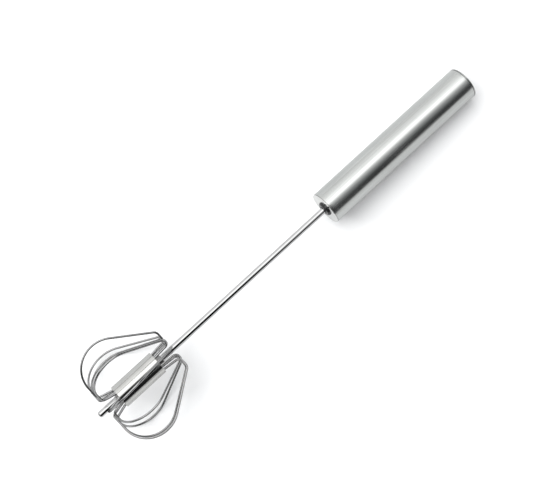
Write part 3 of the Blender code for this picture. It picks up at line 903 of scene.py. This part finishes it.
class WHISK_OT_stage(bpy.types.Operator):
    """Set up the table, the light and the camera"""

    bl_idname = "whisk.stage"
    bl_label = "Stage"

    def execute(self, context):
        s = context.scene.whisk_stage
        context.scene.view_settings.view_transform = "Standard"
        self.table(s)
        self.room(context.scene, s)
        self.lamps(context.scene, s)
        self.camera(context.scene, s)
        return {"FINISHED"}

    def table(self, s):
        """Large level sheet of matt white board."""
        span = np.linspace(-TABLE_HALF, TABLE_HALF, 3)
        x, y = np.meshgrid(span, span, indexing="ij")
        points = np.stack((x, y, np.zeros_like(x)), axis=-1).reshape(-1, 3)
        mesh = bpy.data.meshes.new("table")
        mesh.from_pydata(points, [], grid_faces(3, 3, False, False))

        def recipe(graph):
            place = graph.node("ShaderNodeTexCoord", output="Object")
            tooth = graph.noise(graph.stretched(place, 900.0, 900.0), 3.0)
            mirrored = graph.node("ShaderNodeLightPath", output="Is Glossy Ray")
            board = graph.mix(mirrored, (*s.table, 1.0), shade(s.table, s.table_mirrored))
            return {"Base Color": board, "Normal": graph.bump(tooth, 0.02 * MM)}

        board = principled("matt_board", recipe, roughness=0.85)
        mesh.materials.append(board)
        piece = bpy.data.objects.new("table", mesh)
        bpy.context.scene.collection.objects.link(piece)

    def room(self, scene, s):
        """White room with a bright ceiling strip on the whisk's far side and a dark wall on its near side.

        The brightness follows the angle round the tool, from straight up towards the near side, and fades
        to a dim room along the tool. Only mirrored rays meet these bands; the table and the view get an
        even white dome.
        """
        world = bpy.data.worlds.new("studio")
        scene.world = world
        world.use_nodes = True
        world.node_tree.nodes.clear()
        graph = Graph(world.node_tree)
        way = graph.split(graph.node("ShaderNodeTexCoord", output="Generated"))
        side = way[1] * -1.0
        around = way[2].maths("ARCTAN2", side, way[2])
        share = around / math.tau + 0.5
        bands = []
        for wall in (WALL_TIP, WALL_HANDLE):
            stops = [(0.5 + turn / 360, bright / ROOM_TOP) for turn, bright in ROOM + wall]
            bands.append(graph.node("ShaderNodeValToRGB", {"stops": stops}, {0: share}))
        level = bands[0] + (bands[1] - bands[0]) * way[0].smooth(*WALL_CHANGE)
        level = level * ROOM_TOP
        low = 1 - way[2].smooth(*END_HORIZON)
        dim = END_DIM + low * END_BRIGHT
        ends = abs(way[0]).smooth(*ROOM_END)
        level = (level + (dim - level) * ends) * s.room
        mirrored = graph.node("ShaderNodeLightPath", output="Is Glossy Ray")
        seen = graph.node("ShaderNodeLightPath", output="Is Camera Ray")
        tint = graph.mix(level.smooth(0.0, 1.0), (0.96, 0.98, 1.0, 1.0), (1.0, 1.0, 1.0, 1.0))
        light = graph.node("ShaderNodeBackground", None, {0: tint, 1: level})
        # The view sees the dome as plain white; everything else gets its own brightness
        even = seen * (1.0 - s.dome) + s.dome
        dome = graph.node("ShaderNodeBackground", None, {0: (0.99, 0.995, 1.0, 1.0), 1: even})
        both = graph.node("ShaderNodeMixShader", None, {0: mirrored, 1: dome, 2: light})
        graph.node("ShaderNodeOutputWorld", None, {0: both})

    def lamps(self, scene, s):
        """Distant soft lamps over the far side; the metal mirrors the room instead of them."""
        for name, direction, spread, strength in LAMPS:
            lamp = bpy.data.lights.new(name, "SUN")
            lamp.angle = math.radians(spread)
            lamp.energy = strength * s.lamps
            piece = bpy.data.objects.new(name, lamp)
            scene.collection.objects.link(piece)
            turn = Vector(direction).to_track_quat("Z", "Y").to_matrix().to_4x4()
            piece.matrix_world = Matrix.Translation(Vector(direction)) @ turn
            piece.visible_glossy = False

    def camera(self, scene, s):
        """Camera almost straight above, leaning along the tool.

        e2 and e3 are level and up, turned round the axis; the view direction leans from -e3 towards the
        handle, and the view's right is the tool's direction turned by the slant.
        """
        e2 = math.cos(s.around) * AXIS_X + math.sin(s.around) * AXIS_Y
        e3 = math.sin(s.around) * AXIS_X - math.cos(s.around) * AXIS_Y
        place = TIP + s.station * AXIS_Z + s.distance * e3 - s.offset * e2
        depth = math.sin(s.lean) * AXIS_Z - math.cos(s.lean) * e3
        along = math.cos(s.lean) * AXIS_Z + math.sin(s.lean) * e3
        right = math.cos(s.slant) * along + math.sin(s.slant) * e2
        down = -math.sin(s.slant) * along + math.cos(s.slant) * e2
        lens = bpy.data.cameras.new("camera")
        lens.sensor_width = 36.0
        lens.lens = s.lens
        lens.clip_start = 0.01
        lens.clip_end = 100.0
        piece = bpy.data.objects.new("camera", lens)
        scene.collection.objects.link(piece)
        matrix = Matrix.Identity(4)
        for row in range(3):
            matrix[row] = (right[row], -down[row], -depth[row], place[row])
        piece.matrix_world = matrix
        scene.camera = piece


# Brightness of the room against the angle round the tool, in degrees from straight up to the near side. The
# dark wall begins sharply towards the tip and softly towards the handle.
# ROOM_TOP is the brightness that a colour ramp's white stands for.
ROOM_TOP = 2.5
ROOM = (
    (-180.0, 1.0),
    (-92.0, 1.03),
    (-80.0, 1.04),
    (-66.0, 1.15),
    (-52.0, 1.33),
    (-42.0, 1.45),
    (-33.0, 1.75),
    (-26.0, 2.1),
    (-13.0, 2.2),
)
WALL_TIP = (
    (-6.0, 2.0),
    (-1.0, 1.2),
    (3.0, 0.3),
    (7.0, 0.05),
    (14.0, 0.015),
    (71.0, 0.015),
    (74.0, 0.2),
    (77.0, 0.85),
    (90.0, 0.95),
    (180.0, 0.95),
)
WALL_HANDLE = (
    (-6.0, 1.9),
    (0.0, 1.3),
    (7.0, 0.85),
    (14.0, 0.6),
    (24.0, 0.36),
    (34.0, 0.21),
    (42.0, 0.1),
    (50.0, 0.06),
    (67.0, 0.05),
    (71.0, 0.12),
    (75.0, 0.85),
    (90.0, 0.95),
    (180.0, 0.95),
)
# How far towards the handle the wall changes from the one table to the other, and where the dim ends of the
# room begin, all as the part of a direction that runs along the tool
WALL_CHANGE = (0.18, 0.215)
ROOM_END = (0.45, 0.75)
# Brightness of those ends above the horizon, what is added below it, and between which heights it falls off
END_DIM = 0.1
END_BRIGHT = 0.85
END_HORIZON = (0.08, 0.3)
# Each soft lamp: name, direction it shines from, its width as seen from the table in degrees, and strength
LAMPS = (
    ("high_lamp", (-0.28, 0.45, 0.85), 53.0, 2.85),
    ("low_lamp", (-0.64, 0.6, 0.44), 14.0, 0.8),
)


class WHISK_PT_pieces(bpy.types.Panel):
    """Lists the whisk's pieces and their sizes."""

    bl_idname = "WHISK_PT_pieces"
    bl_label = "Push whisk"
    bl_space_type = "VIEW_3D"
    bl_region_type = "UI"
    bl_category = "Whisk"

    def draw(self, context):
        for operator in OPERATORS:
            self.layout.operator(operator.bl_idname)
        for name, group in SETTINGS.items():
            box = self.layout.box()
            box.label(text=group.__doc__)
            for key in group.__annotations__:
                box.prop(getattr(context.scene, name), key)


SETTINGS = {
    "whisk_handle": WhiskHandleSettings,
    "whisk_shaft": WhiskShaftSettings,
    "whisk_head": WhiskHeadSettings,
    "whisk_stage": WhiskStageSettings,
}
OPERATORS = (
    WHISK_OT_handle_tube,
    WHISK_OT_caps,
    WHISK_OT_bush,
    WHISK_OT_shaft,
    WHISK_OT_hub,
    WHISK_OT_wire_loops,
    WHISK_OT_drive,
    WHISK_OT_stage,
)


def register():
    """Add the classes and hang the settings on the scene."""
    for cls in (*SETTINGS.values(), *OPERATORS, WHISK_PT_pieces):
        bpy.utils.register_class(cls)
    for name, group in SETTINGS.items():
        setattr(bpy.types.Scene, name, PointerProperty(type=group))


def unregister():
    """Take the settings and the classes away again."""
    for name in SETTINGS:
        delattr(bpy.types.Scene, name)
    for cls in (WHISK_PT_pieces, *reversed(OPERATORS), *reversed(SETTINGS.values())):
        bpy.utils.unregister_class(cls)


def main():
    """Build everything."""
    register()
    for operator in OPERATORS:
        name = operator.bl_idname.split(".")[1]
        getattr(bpy.ops.whisk, name)()


if __name__ == "__main__":
    main()
